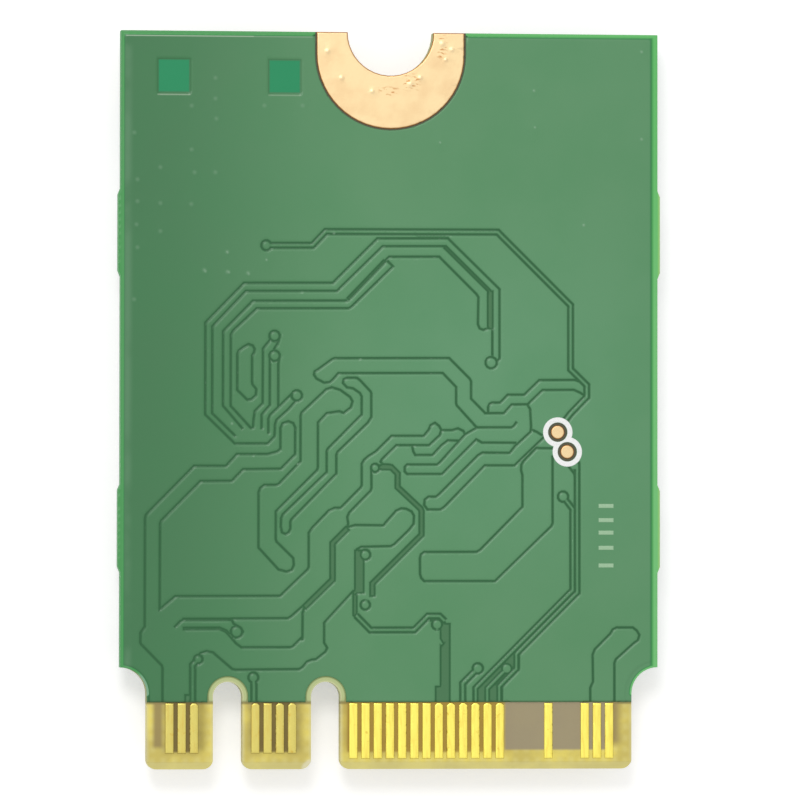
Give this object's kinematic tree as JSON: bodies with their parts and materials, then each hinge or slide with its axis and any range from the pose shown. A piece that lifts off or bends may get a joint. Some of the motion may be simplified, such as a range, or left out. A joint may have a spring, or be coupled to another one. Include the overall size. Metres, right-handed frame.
{
  "type": "laptop wifi card",
  "caption": "Small plug-in wireless card for a laptop, with keyed gold edge contacts, a half-round screw notch and a shield lid under it.",
  "frame": {"origin": "centre of the board's outline, on the plane of the shield lid's outer face, on which the card lies", "axes": "+X across the card, +Y from the edge contacts to the screw notch, +Z out of the card's back side"},
  "size_m": [0.0222, 0.03, 0.0021],
  "materials": {
    "laminate": "bare glass-cloth laminate, routed edge",
    "mask": "cured liquid solder mask, semi-gloss, over copper",
    "gold": "thin gold over nickel, satin",
    "ink": "printed white epoxy ink",
    "tin_sheet": "tin-plated sheet, rolled",
    "solder": "reflowed solder, bright",
    "moulding": "moulded, fine matt",
    "epoxy": "moulding compound, fine matt",
    "ceramic": "fired, unglazed",
    "ferrite": "pressed powder, matt",
    "dielectric": "fired, matt"
  },
  "bodies": {
    "root": {"laminate": "laminate", "mask_back": "mask", "mask_front": "mask", "screw_pad_back": "gold", "screw_pad_front": "gold", "test_pads": "gold", "print_ring": "ink", "print_bars": "ink", "contacts_back_left": "gold", "contacts_back_middle": "gold", "contacts_back_main": "gold", "contacts_front_left": "gold", "contacts_front_middle": "gold", "contacts_front_main": "gold", "shield_fence": "tin_sheet", "shield_lid": "tin_sheet", "fence_solder": "solder", "port_left_base": "moulding", "port_left_shell": "gold", "port_left_pin": "gold", "port_right_base": "moulding", "port_right_shell": "gold", "port_right_pin": "gold", "radio_chip": "epoxy", "front_end_left": "epoxy", "front_end_right": "epoxy", "filter_left": "ceramic", "filter_right": "ceramic", "coil_left": "ferrite", "coil_right": "ferrite", "crystal_base": "ceramic", "crystal_lid": "tin_sheet", "capacitor_bodies": "dielectric", "capacitor_ends": "solder", "resistor_bodies": "epoxy", "resistor_ends": "solder"}
  },
  "joints": []
}
